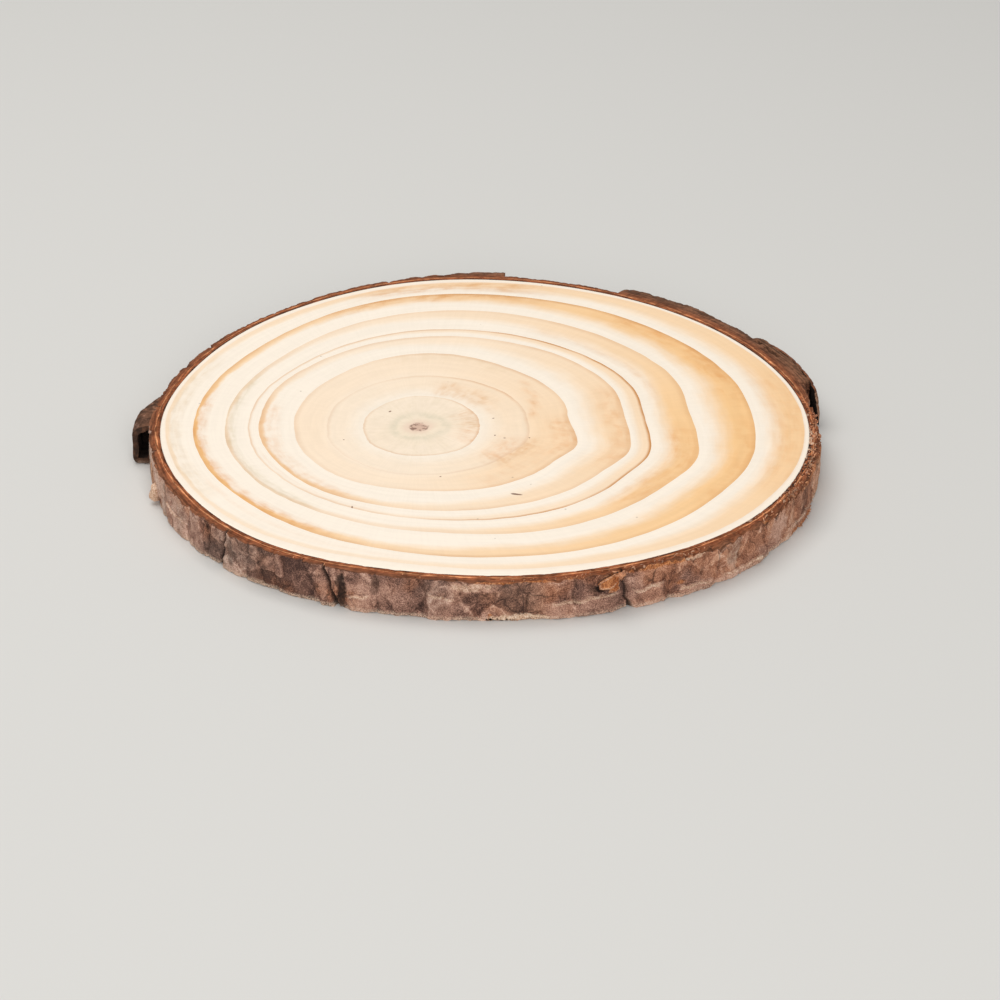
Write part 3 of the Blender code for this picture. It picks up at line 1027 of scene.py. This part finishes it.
# %% Model the inner bark
# Pale splinters of wood torn into the inner bark: degrees, mm outside the wood, half width in degrees and in
# mm, and how strong
INNER_SPLINTERS = [(353.2, 0.2, 0.4, 0.7, 1.0), (355.0, 0.3, 0.35, 0.9, 1.0), (356.6, 0.2, 0.35, 0.8, 1.0),
                   (358.4, 0.2, 0.3, 0.6, 1.0), (350.6, 0.1, 0.35, 0.6, 0.9), (339.5, 0.2, 0.4, 0.4, 0.6),
                   (329.0, 0.2, 0.4, 0.4, 0.5), (4.0, 0.2, 0.4, 0.5, 0.6)]
inner = spun_section("inner_bark", (1, 9, 2, 3), COLUMNS)
looks = []
for vertex in inner.data.vertices:
    degrees, out, up = unrolled(vertex)
    beyond = 0.02 + (BAND_MM + 0.15) * out
    point = trunk_point_mm(degrees, beyond, 0)
    fibre = 0.22 * noise.noise(Vector((point.x / 3.5, point.y / 3.5, beyond * 3.2)))
    fibre += (0.1 + 0.7 * bump_at(degrees, 350, 20)) * noise.noise(point / 0.7)
    top = tall - 0.03 - max(0.0, fibre)
    height = top * up if up > 0.5 else top * up + 0.02 * out
    vertex.co = inside_box(trunk_point_mm(degrees, beyond, height) * MM)
    looks.append((0.0, beyond / DEPTH_UNIT_MM, max(0.0, -fibre * 3), 0.5))
spots = []
for vertex in inner.data.vertices:
    point = vertex.co / MM - PITH / MM
    turn = math.degrees(math.atan2(point.y, point.x)) % 360
    beyond = point.xy.length - by_compass(WOOD_RADII_MM, turn)
    splintered = max(strength * patch(turn, beyond, *place, point) for *place, strength in INNER_SPLINTERS)
    spots.append((0.0, 0.0, 0.0, splintered))
store_bark(inner, looks, spots)
print("inner bark:", len(inner.data.vertices), "points")

# %% [markdown]
# Loose flakes
#
# Old bark peels off in flakes. One has curled over like a little hood, with a hollow
# under it that is painted dark as shade, and one still clings by its far end. A flake
# is a sheet, so it is modelled as a flat grid that is bent round the trunk, and it gets
# its thickness last. Its side towards the trunk is painted dark, as painted shade.


# %% Bend a grid into a flake
def through(values, share):
    """Reads a smooth curve through evenly spaced values, from the first, at 0, to the last, at 1."""
    last = len(values) - 1
    along = min(max(share, 0.0), 0.9999) * last
    index = int(along)
    near = (values[min(max(index + step, 0), last)] for step in (-1, 0, 1, 2))
    return curve(*near, along - index)


def flake(name, start, end, outer_mm, section, wall_mm, grid, ragged=0.5, skin=0.0, depth=1.2,
          dark=0.0, pale_end=0.0, end_lean_mm=0.0, leaf=0.0, droop_mm=0.0, cup_mm=0.0, pocket=0.0,
          tint=(0.0, 0.0)):
    """A flake between two angles. section gives the share of outer_mm and the height, from edge to edge.

    start and end each give the angle at the section's first edge and at its last. skin is how much
    weathered skin is left, depth how far outside the wood the finish takes it to be, dark and
    pale_end how dark it is and how pale its free end. end_lean_mm leans the free end outwards at the
    bottom, leaf narrows both ends like a leaf's, droop_mm lets the free end hang, cup_mm curls the
    edges out and paints a highlight along them, pocket is the share of the length that is filled
    behind, with its back painted dark as shade, and tint is how pink and how orange it is. The side
    towards the trunk is painted dark, as painted shade under the flake.
    """
    deselect_all()
    bpy.ops.mesh.primitive_grid_add(x_subdivisions=grid[0], y_subdivisions=grid[1], size=2)
    sheet = bpy.context.object
    call(sheet, name)
    kept = []
    for vertex in sheet.data.vertices:
        along, across = (vertex.co.x + 1) / 2, (vertex.co.y + 1) / 2
        first = start[0] + (start[1] - start[0]) * across
        last = end[0] + (end[1] - end[0]) * across
        tear = noise.noise(Vector((across * 5, first, along * 2)))
        tear += 0.5 * noise.noise(Vector((across * 17, first, along * 3)))
        degrees = first + (last - first) * along + ragged * tear * (2 * along - 1)
        share = through([place[0] for place in section], across)
        height = through([place[1] for place in section], across)
        height += ragged * 0.3 * noise.noise(Vector((along * 9, first, 3))) * abs(2 * across - 1) ** 3
        middle = (section[0][1] + section[-1][1]) / 2
        height += (middle - height) * leaf * (1 - math.sin(math.pi * (0.03 + 0.82 * along)) ** 0.6)
        height -= droop_mm * (1 - along)
        spot = Vector((along * (end[0] - start[0]) * 0.35, across * 1.2, first))
        rough = 0.35 * noise.noise(spot) + 0.16 * noise.noise(spot * 3) + 0.1 * noise.noise(spot * 8)
        furrow = max(0.0, noise.noise(Vector((spot.x * 2.6, across * 1.5, 5.5))) - 0.12) * 0.9
        beyond = through(outer_mm, along) * share + (rough - furrow) * min(1.0, wall_mm)
        beyond += end_lean_mm * (0.5 - height / tall) * (1 - along) ** 4
        beyond += cup_mm * (2 * across - 1) ** 2
        vertex.co = trunk_point_mm(degrees, beyond, min(max(height, 0.05), tall - 0.05)) * MM
        from_edge = min(along, 1 - along, across, 1 - across)
        kept.append((from_edge, min(1.0, furrow * 2), along, degrees, height))
    wall = sheet.modifiers.new("wall", "SOLIDIFY")
    wall.thickness = wall_mm * MM
    wall.offset = -1
    bpy.ops.object.modifier_apply(modifier=wall.name)
    looks = []
    spots = []
    for index, vertex in enumerate(sheet.data.vertices):
        edge, furrow, along, degrees, height = kept[index % len(kept)]
        outside = index < len(kept)
        if not outside:
            vertex.co += noise.noise_vector(vertex.co * 600) * 0.25 * MM * min(1.0, wall_mm)
            if along < pocket and edge > 0:
                vertex.co = trunk_point_mm(degrees, POCKET_BACK_MM, height) * MM
        vertex.co = inside_box(vertex.co)
        whole = skin * min(1.0, edge * 18) if outside else 0.0
        # The side towards the trunk is painted dark, as painted shade under the flake
        painted_hollow_shade = 0.0 if outside or edge == 0 else min(0.97, 0.6 + edge * 8)
        # Outside, the furrows are painted dark as painted shade; inside, the painted shade of the hollow
        crack = furrow * 0.8 if outside else painted_hollow_shade
        looks.append((whole, depth / DEPTH_UNIT_MM, crack, 0.45))
        at_end = along < 0.001 or (outside and along < 0.012)
        rim_light = cup_mm * max(0.0, 1 - edge * 8) if outside else 0.0
        # The far end of a filled pocket is painted black, as painted shade deep in the hollow
        painted_cut_shade = 1.0 if pocket and edge == 0 and along > 0.98 else 0.0
        cream = pale_end if at_end and edge == 0 else rim_light
        spots.append((max(dark, painted_hollow_shade, painted_cut_shade), *tint, cream))
    store_bark(sheet, looks, spots)
    return sheet


# %% Model the flakes
# The filled back of a pocket, under a curled flake, is painted dark as painted shade
POCKET_BACK_MM = 2.2  # where a filled pocket meets the trunk's bark, outside the wood
HOOD_SECTION = [(0.45, 0.4), (0.85, 0.25), (1, 1.5), (1, 4), (1, 6.4), (1, 7.7), (0.86, 8.9), (0.55, 9.6),
                (0.3, 9.5)]

hood = flake("curled_flake", (162, 162), (180.2, 179.0), [3.0, 4.9, 6.8, 7.0, 7.0], HOOD_SECTION, 1.3,
             (90, 70), skin=0.4, depth=4.4, dark=0.3, pocket=0.6)
peel = flake("peeling_flake", (10.8, 10.5), (29, 29), [6.1, 6.6, 6.9, 7.2, 7.2, 6.3],
             [(1.02, 0.3), (1, 3), (1, 7), (0.97, 9.9)], 0.55, (120, 50), skin=0.4, depth=2.6, dark=0.25,
             pale_end=0.3, end_lean_mm=1.6)
chip = flake("orange_chip", (300.3, 300.3), (303.5, 303.5), [3.6, 4.3, 3.4],
             [(1.0, 8.3), (1.06, 9.4), (0.9, 10.5)], 0.35, (36, 26), ragged=0.15, dark=0.12, leaf=1.0,
             droop_mm=2.0, cup_mm=0.6, tint=(0.0, 0.75))
flap = flake("hanging_flap", (301.7, 302.7), (303.4, 303.7), [3.6, 3.9, 3.3],
             [(1.1, 6.0), (1.1, 7.7), (1.0, 9.6)], 0.4, (20, 30), ragged=0.25, cup_mm=0.4, tint=(0.0, 0.75))
knot = flake("torn_knot", (302.9, 302.8), (304.6, 304.7), [3.4, 4.2, 3.4],
             [(0.95, 8.5), (1.0, 9.3), (0.85, 9.9)], 0.6, (16, 14), ragged=0.4, depth=1.0, tint=(0.5, 0.4))
flakes = [hood, peel, chip, flap, knot]
print("flakes:", {piece.name: len(piece.data.polygons) for piece in flakes})

# %% [markdown]
# Fibres and crumbs
#
# Where the saw tore the inner bark, its fibres stand up like the ends of a frayed
# rope, and crumbs cling to the lower edge. One fibre and one crumb are modelled, and
# the rest are copies that are turned and scaled by a seeded draw.

# %% Model one fibre and one crumb
deselect_all()
bpy.ops.mesh.primitive_cube_add(size=1, location=(0, 0, 0.5))
fibre = bpy.context.object
fibre.name = "fibre"
bpy.ops.object.transform_apply(location=True, rotation=True, scale=True)
edit(fibre, "FACE")
for shift, taper in [((0.25, 0, 0.9), 0.8), ((0.6, 0.1, 0.7), 0.7), ((0.8, 0.2, 0.35), 0.5)]:
    fibre.update_from_editmode()
    tip = max(face.center.z for face in fibre.data.polygons)
    pick("polygons", lambda face: face.center.z == tip)
    bpy.ops.mesh.extrude_region_move(TRANSFORM_OT_translate={"value": shift})
    bpy.ops.transform.resize(value=(taper, taper, taper))
bpy.ops.object.mode_set(mode="OBJECT")


def crumb_shape(name, fineness):
    """A ball that is dented and bulged unevenly. The finer it is, the more faces it has."""
    deselect_all()
    bpy.ops.mesh.primitive_ico_sphere_add(subdivisions=fineness, radius=0.5)
    ball = bpy.context.object
    ball.name = name
    for vertex in ball.data.vertices:
        vertex.co *= 1 + 0.5 * noise.noise(vertex.co * 2.5)
    return ball


crumb = crumb_shape("crumb", 1)
splinter = crumb_shape("splinter", 3)
for piece in (fibre, crumb, splinter):
    print(piece.name, "has", len(piece.data.polygons), "faces")

# %% Scatter them
ON_TOP_MM = 8.9  # what stands higher lies on the bark's sawn top
ON_INNER_MM = 9.4  # and a splinter that stands higher than this lies on the inner bark
# Where fibres stand: start and end in degrees, how many, lowest and highest place and length in mm, how pale
FIBRE_PATCHES = [(300.5, 305.5, 36, 7.2, 9.7, 1.3, 0.3), (284, 300, 60, 9.3, 9.85, 0.8, 0.3),
                 (305, 320, 110, 9.0, 9.85, 1.0, 0.5), (330, 338, 70, 8.8, 9.85, 1.2, 0.5),
                 (338, 362, 260, 9.1, 9.9, 1.3, 0.55), (350, 361, 44, 9.6, 9.9, 1.1, 1.0),
                 (338.5, 349, 60, 0.3, 1.2, 1.2, 0.2), (0, 14, 60, 9.2, 9.85, 0.9, 0.3),
                 (190, 285, 110, 9.4, 9.85, 0.6, 0.3), (60, 180, 50, 9.4, 9.85, 0.6, 0.2)]
# Where crumbs cling: start and end in degrees, how many, lowest and highest place and size in mm, how cream
CRUMB_PATCHES = [(283.5, 292, 34, 0.15, 0.5, 0.45, 0.9), (282.6, 283.8, 8, 0.15, 0.5, 0.5, 0.1),
                 (200, 330, 46, 0.15, 0.5, 0.3, 0.4), (339, 349, 16, 0.15, 0.5, 0.45, 0.1),
                 (336, 366, 120, 9.0, 9.7, 0.7, 0.25), (306, 320, 34, 9.1, 9.7, 0.55, 0.4),
                 (286, 300, 30, 9.3, 9.75, 0.4, 0.2)]
# Splinters on the face: degrees, then height, length, width and depth in mm, turn in degrees, how cream
SPLINTERS = [(328.5, 1.5, 3.2, 0.9, 0.9, 78, 1.0), (197.5, 3.0, 4.6, 2.2, 3.8, 8, 0.85),
             (193.4, 5.6, 6.0, 0.5, 0.5, 12, 0.55), (195.2, 5.2, 5.0, 0.4, 0.4, 9, 0.45),
             (356.0, 9.7, 1.6, 0.5, 0.4, 90, 1.0), (358.6, 9.7, 1.3, 0.5, 0.4, 95, 1.0),
             (353.4, 9.6, 1.2, 0.45, 0.4, 80, 0.9), (316.8, 8.9, 2.4, 0.9, 0.6, 84, 0.75),
             (314.9, 9.0, 1.4, 0.6, 0.5, 70, 0.7)]


def scatter(original, name, places, seed):
    """Copies a shape to every place, as one piece. A place is its point, its size and how it is turned."""
    copies = []
    for point, size, turn, _cream in places:
        copy = original.copy()
        copy.data = original.data.copy()
        copy.location = point
        copy.scale = size
        copy.rotation_euler = turn
        bpy.context.scene.collection.objects.link(copy)
        copies.append(copy)
    deselect_all()
    for copy in copies:
        copy.select_set(True)
    bpy.context.view_layer.objects.active = copies[0]
    bpy.ops.object.transform_apply(location=True, rotation=True, scale=True)
    bpy.ops.object.join()
    joined = bpy.context.object
    call(joined, name)
    draw = random.Random(seed)
    points_each = len(original.data.vertices)
    looks = []
    spots = []
    for index, vertex in enumerate(joined.data.vertices):
        vertex.co = inside_box(vertex.co)
        if index % points_each == 0:
            shade = draw.uniform(0.115, 0.175)
        looks.append((0.0, shade, 0.0, 0.5))
        spots.append((0.0, 0.0, 0.0, places[index // points_each][3]))
    store_bark(joined, looks, spots)
    return joined


draw = random.Random(21)
places = []
for first, last, number, low, high, length, pale in FIBRE_PATCHES:
    for _ in range(number):
        degrees = draw.uniform(first, last)
        height = draw.uniform(low, high)
        thickness = bark_face(degrees % 360, height / tall)[0]
        on_top = height > ON_TOP_MM
        beyond = draw.uniform(0.3, 1.9) if on_top else thickness - 0.15
        if pale == 1.0:
            beyond = draw.uniform(0.0, 0.5)
        point = trunk_point_mm(degrees, beyond, height) * MM
        size = draw.uniform(0.5, 1.2) * length * MM
        thin = draw.uniform(0.12, 0.26) * MM
        lying = draw.uniform(60, 95) if on_top else draw.uniform(60, 120)
        heading = degrees + 90 * draw.choice((-1, 1)) + draw.uniform(-35, 35)
        turn = (0, math.radians(lying), math.radians(heading))
        places.append((point, (thin, thin, size * 0.33), turn, pale * draw.uniform(0.2, 1.0)))
fibres = scatter(fibre, "bark_fibres", places, 5)
places = []
for first, last, number, low, high, largest, cream in CRUMB_PATCHES:
    for _ in range(number):
        degrees = draw.uniform(first, last)
        height = draw.uniform(low, high)
        thickness = max(bark_face(degrees % 360, height / tall)[0], LEAST_OUTER_MM)
        size = draw.uniform(0.4, 1.0) * largest * MM
        beyond = draw.uniform(0.8, thickness + 0.1) if height > ON_TOP_MM else thickness - 0.1
        point = trunk_point_mm(degrees, beyond, height) * MM
        turn = [draw.uniform(0, math.tau) for _ in range(3)]
        places.append((point, (size * 1.5, size, size * 0.8), turn, cream * draw.uniform(0.6, 1.0)))
crumbs = scatter(crumb, "bark_crumbs", places, 6)
places = []
for degrees, level, length, width, depth, lean, cream in SPLINTERS:
    thickness = bark_face(degrees, level / tall)[0]
    beyond = thickness + 0.1 if level < ON_INNER_MM else 0.5
    point = trunk_point_mm(degrees, beyond, level) * MM
    turn = (math.radians(lean), 0, math.radians(degrees))
    places.append((point, (depth * MM, width * MM, length * MM), turn, cream))
splinters = scatter(splinter, "bark_splinters", places, 7)
for original in (fibre, crumb, splinter):
    bpy.data.objects.remove(original)
for piece in (fibres, crumbs, splinters):
    print(piece.name, "has", len(piece.data.polygons), "faces")

# %% [markdown]
# The finish of the bark
#
# One recipe serves for all of the bark, because what the eye sees is how deep the
# break has gone. Each point stores its depth, and whether it is the old weathered
# skin or a fresh break. Breaks run from dark at the wood through orange to brown,
# with fibre in lines. The skin is a dusty purple brown, in the tone of its shell,
# and down in the cracks it is painted near black, as painted shade.

# %% Bark
bark = Finish("pine_bark")
stored = bark.stored("bark_look")
# cracked holds the painted shade of cracks, hollows and flake insides, and the inner bark's dark fibres
whole_skin, depth, cracked = bark.colour_parts(stored)
shell_tone = stored.outputs["Alpha"]
speckle = bark.between(bark.noise(bark.place, 3900.0, 2.0, 0.7), 0.3, 0.7)
mottle = bark.noise(bark.place, 620.0, 3.0, 0.6)
drift = bark.noise(bark.place, 95.0, 2.0, 0.5)
blotch = bark.noise(bark.place, 45.0, 1.0, 0.5)

# %% Broken bark: dark at the wood, then orange, a bright line and brown, in layers
around = bark.vector("MULTIPLY", bark.place, (170, 170, 60))
layers = bark.noise(bark.raised(around, bark.times(depth, 20.0)), 1.0, 3.0, 0.6)
layer_depth = bark.plus(depth, bark.sway(layers, 0.2))
broken = bark.ramp(layer_depth, [
    (0.0, paint(88, 48, 30)),
    (0.045, paint(140, 79, 47)),
    (0.115, paint(154, 89, 54)),
    (0.14, paint(220, 152, 106)),
    (0.162, paint(148, 84, 52)),
    (0.27, paint(126, 76, 50)),
    (0.45, paint(122, 82, 60)),
    (0.8, paint(110, 78, 58)),
])
layer_shade = bark.between(layers, 0.34, 0.66, 0.5, 1.45)
mottle_shade = bark.between(mottle, 0.3, 0.7, 0.75, 1.25)
broken = bark.shaded(broken, bark.times(layer_shade, mottle_shade))

# %% Weathered skin: a value from dark to light, then three colours of it
# shell_tone carries painted light and shade by side and painted highlights on shell edges, as well as the
# shell's own tone
skin_value = bark.plus(bark.times(shell_tone, 0.40), bark.times(mottle, 0.26))
skin_value = bark.plus(skin_value, bark.times(speckle, 0.26))
skin_value = bark.plus(skin_value, 0.035)
warp = bark.add("ShaderNodeTexNoise", {"Vector": bark.place, "Scale": 330.0, "Detail": 1.0})
warped = bark.vector("ADD", bark.place, bark.vector("SCALE", warp.outputs["Color"], 2.2 * MM))
scales = bark.add("ShaderNodeTexVoronoi", {"Vector": warped, "Scale": 430.0})
scale_tone = bark.colour_parts(scales)[0]
skin_value = bark.plus(skin_value, bark.between(scale_tone, 0.0, 1.0, -0.05, 0.05))
skin = bark.ramp(skin_value, [
    (0.28, paint(76, 54, 48)),
    (0.42, paint(128, 94, 82)),
    (0.54, paint(170, 129, 112)),
    (0.64, paint(204, 164, 145)),
    (0.80, paint(236, 208, 190)),
])
warm = bark.ramp(skin_value, [
    (0.28, paint(86, 52, 39)),
    (0.44, paint(150, 99, 75)),
    (0.58, paint(194, 137, 107)),
    (0.80, paint(238, 196, 166)),
])
sideways, _, height_m = bark.axes(bark.place)
warmth = bark.plus(drift, bark.between(sideways, -60 * MM, 60 * MM, -0.08, 0.08))
skin = bark.mix(bark.between(warmth, 0.36, 0.58, 0.05, 1.0), skin, warm)
grey = bark.ramp(skin_value, [
    (0.30, paint(86, 75, 69)),
    (0.56, paint(150, 132, 120)),
    (0.80, paint(202, 186, 174)),
])
greyer_left = bark.between(sideways, 0.0, 70 * MM, 1.0, 0.15)
skin = bark.mix(bark.times(bark.between(blotch, 0.52, 0.7, 0.0, 0.4), greyer_left), skin, grey)

# %% Fine cracks, and where the skin is whole
FINE_CRACK = paint(58, 40, 34)
PALE_EDGE = paint(234, 204, 180)
cells = bark.add("ShaderNodeTexVoronoi", {
    "Vector": bark.vector("MULTIPLY", warped, (1, 1, 0.7)),
    "Scale": 210.0,
}, feature="DISTANCE_TO_EDGE").outputs["Distance"]
fine_crack = bark.times(bark.between(cells, 0.0, 0.05, 1.0, 0.0), bark.between(drift, 0.45, 0.6, 0.0, 0.75))
skin = bark.mix(fine_crack, skin, FINE_CRACK)
skin_here = bark.between(bark.plus(whole_skin, bark.sway(mottle, 0.9)), 0.35, 0.65)
bark_colour = bark.mix(skin_here, broken, skin)
low_edge = bark.plus(height_m, bark.times(mottle, 1.0 * MM))
pale_edge = bark.times(bark.between(low_edge, 0.9 * MM, 1.9 * MM, 1.0, 0.0), speckle)
bark_colour = bark.mix(pale_edge, bark_colour, PALE_EDGE)

# %% Patches of pink, orange and cream, with painted highlights, then the dark ones and the cracks, with painted shade
DARK_BARK_AND_SHADE = paint(52, 38, 31)
DARK_FIBRE_AND_CRACK_SHADE = paint(30, 21, 18)
spotted = bark.stored("bark_spots")
dark_and_painted_shade, pink_and_highlight, orange_here = bark.colour_parts(spotted)
pinkish = bark.ramp(skin_value, [
    (0.3, paint(138, 100, 85)),
    (0.5, paint(205, 158, 136)),
    (0.8, paint(244, 214, 196)),
])
fuzz = bark.plus(bark.times(mottle, 0.6), bark.times(speckle, 0.4))
fuzzy = bark.ramp(fuzz, [
    (0.25, paint(110, 60, 34)),
    (0.50, paint(186, 110, 62)),
    (0.75, paint(238, 170, 112)),
])
creamy = bark.ramp(fuzz, [
    (0.30, paint(172, 128, 100)),
    (0.55, paint(232, 200, 172)),
    (0.80, paint(250, 232, 214)),
])
# The pink and the cream also carry painted highlights on shell edges, ledge lips and flake rims
bark_colour = bark.mix(pink_and_highlight, bark_colour, pinkish)
bark_colour = bark.mix(orange_here, bark_colour, fuzzy)
bark_colour = bark.mix(spotted.outputs["Alpha"], bark_colour, creamy)
# The dark patches are partly darker bark and partly painted shade in hollows, holes and under flakes
darkness_and_shade = bark.times(dark_and_painted_shade, bark.between(mottle, 0.3, 0.7, 1.0, 0.6))
bark_colour = bark.mix(darkness_and_shade, bark_colour, DARK_BARK_AND_SHADE)
# Cracks, hairlines, ledge shadows, hollows and flake insides are painted near black as painted shade; the
# inner bark's dark fibres are its own colour
bark_colour = bark.mix(bark.times(bark.between(cracked, 0.1, 0.9), 0.92), bark_colour, DARK_FIBRE_AND_CRACK_SHADE)
grit = bark.plus(bark.times(speckle, 0.25), bark.times(mottle, 0.7))
bark.surface(bark_colour, 0.9, grit, 0.22 * MM)

# %% Put the bark's finish on, and smooth all but the sharp edges
BARK_SHARP = math.radians(50)
WOOD_SHARP = math.radians(40)
bark_pieces = [outer, inner, fibres, crumbs, splinters] + flakes
for piece in bark_pieces:
    piece.data.materials.clear()
    piece.data.materials.append(bark.material)
    take(piece)
    bpy.ops.object.shade_smooth_by_angle(angle=BARK_SHARP)
take(disc)
bpy.ops.object.shade_smooth_by_angle(angle=WOOD_SHARP)
print(len(bark_pieces), "pieces of bark finished")

# %% [markdown]
# Ride on the slice
#
# Each new piece rides on the slice, and the measured node that it stands for is hidden.

# %% Ride on the slice, and hide the measured nodes
for piece, node in [(disc, "wood")] + [(piece, "bark") for piece in bark_pieces]:
    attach(piece, "root")
    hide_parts(node)
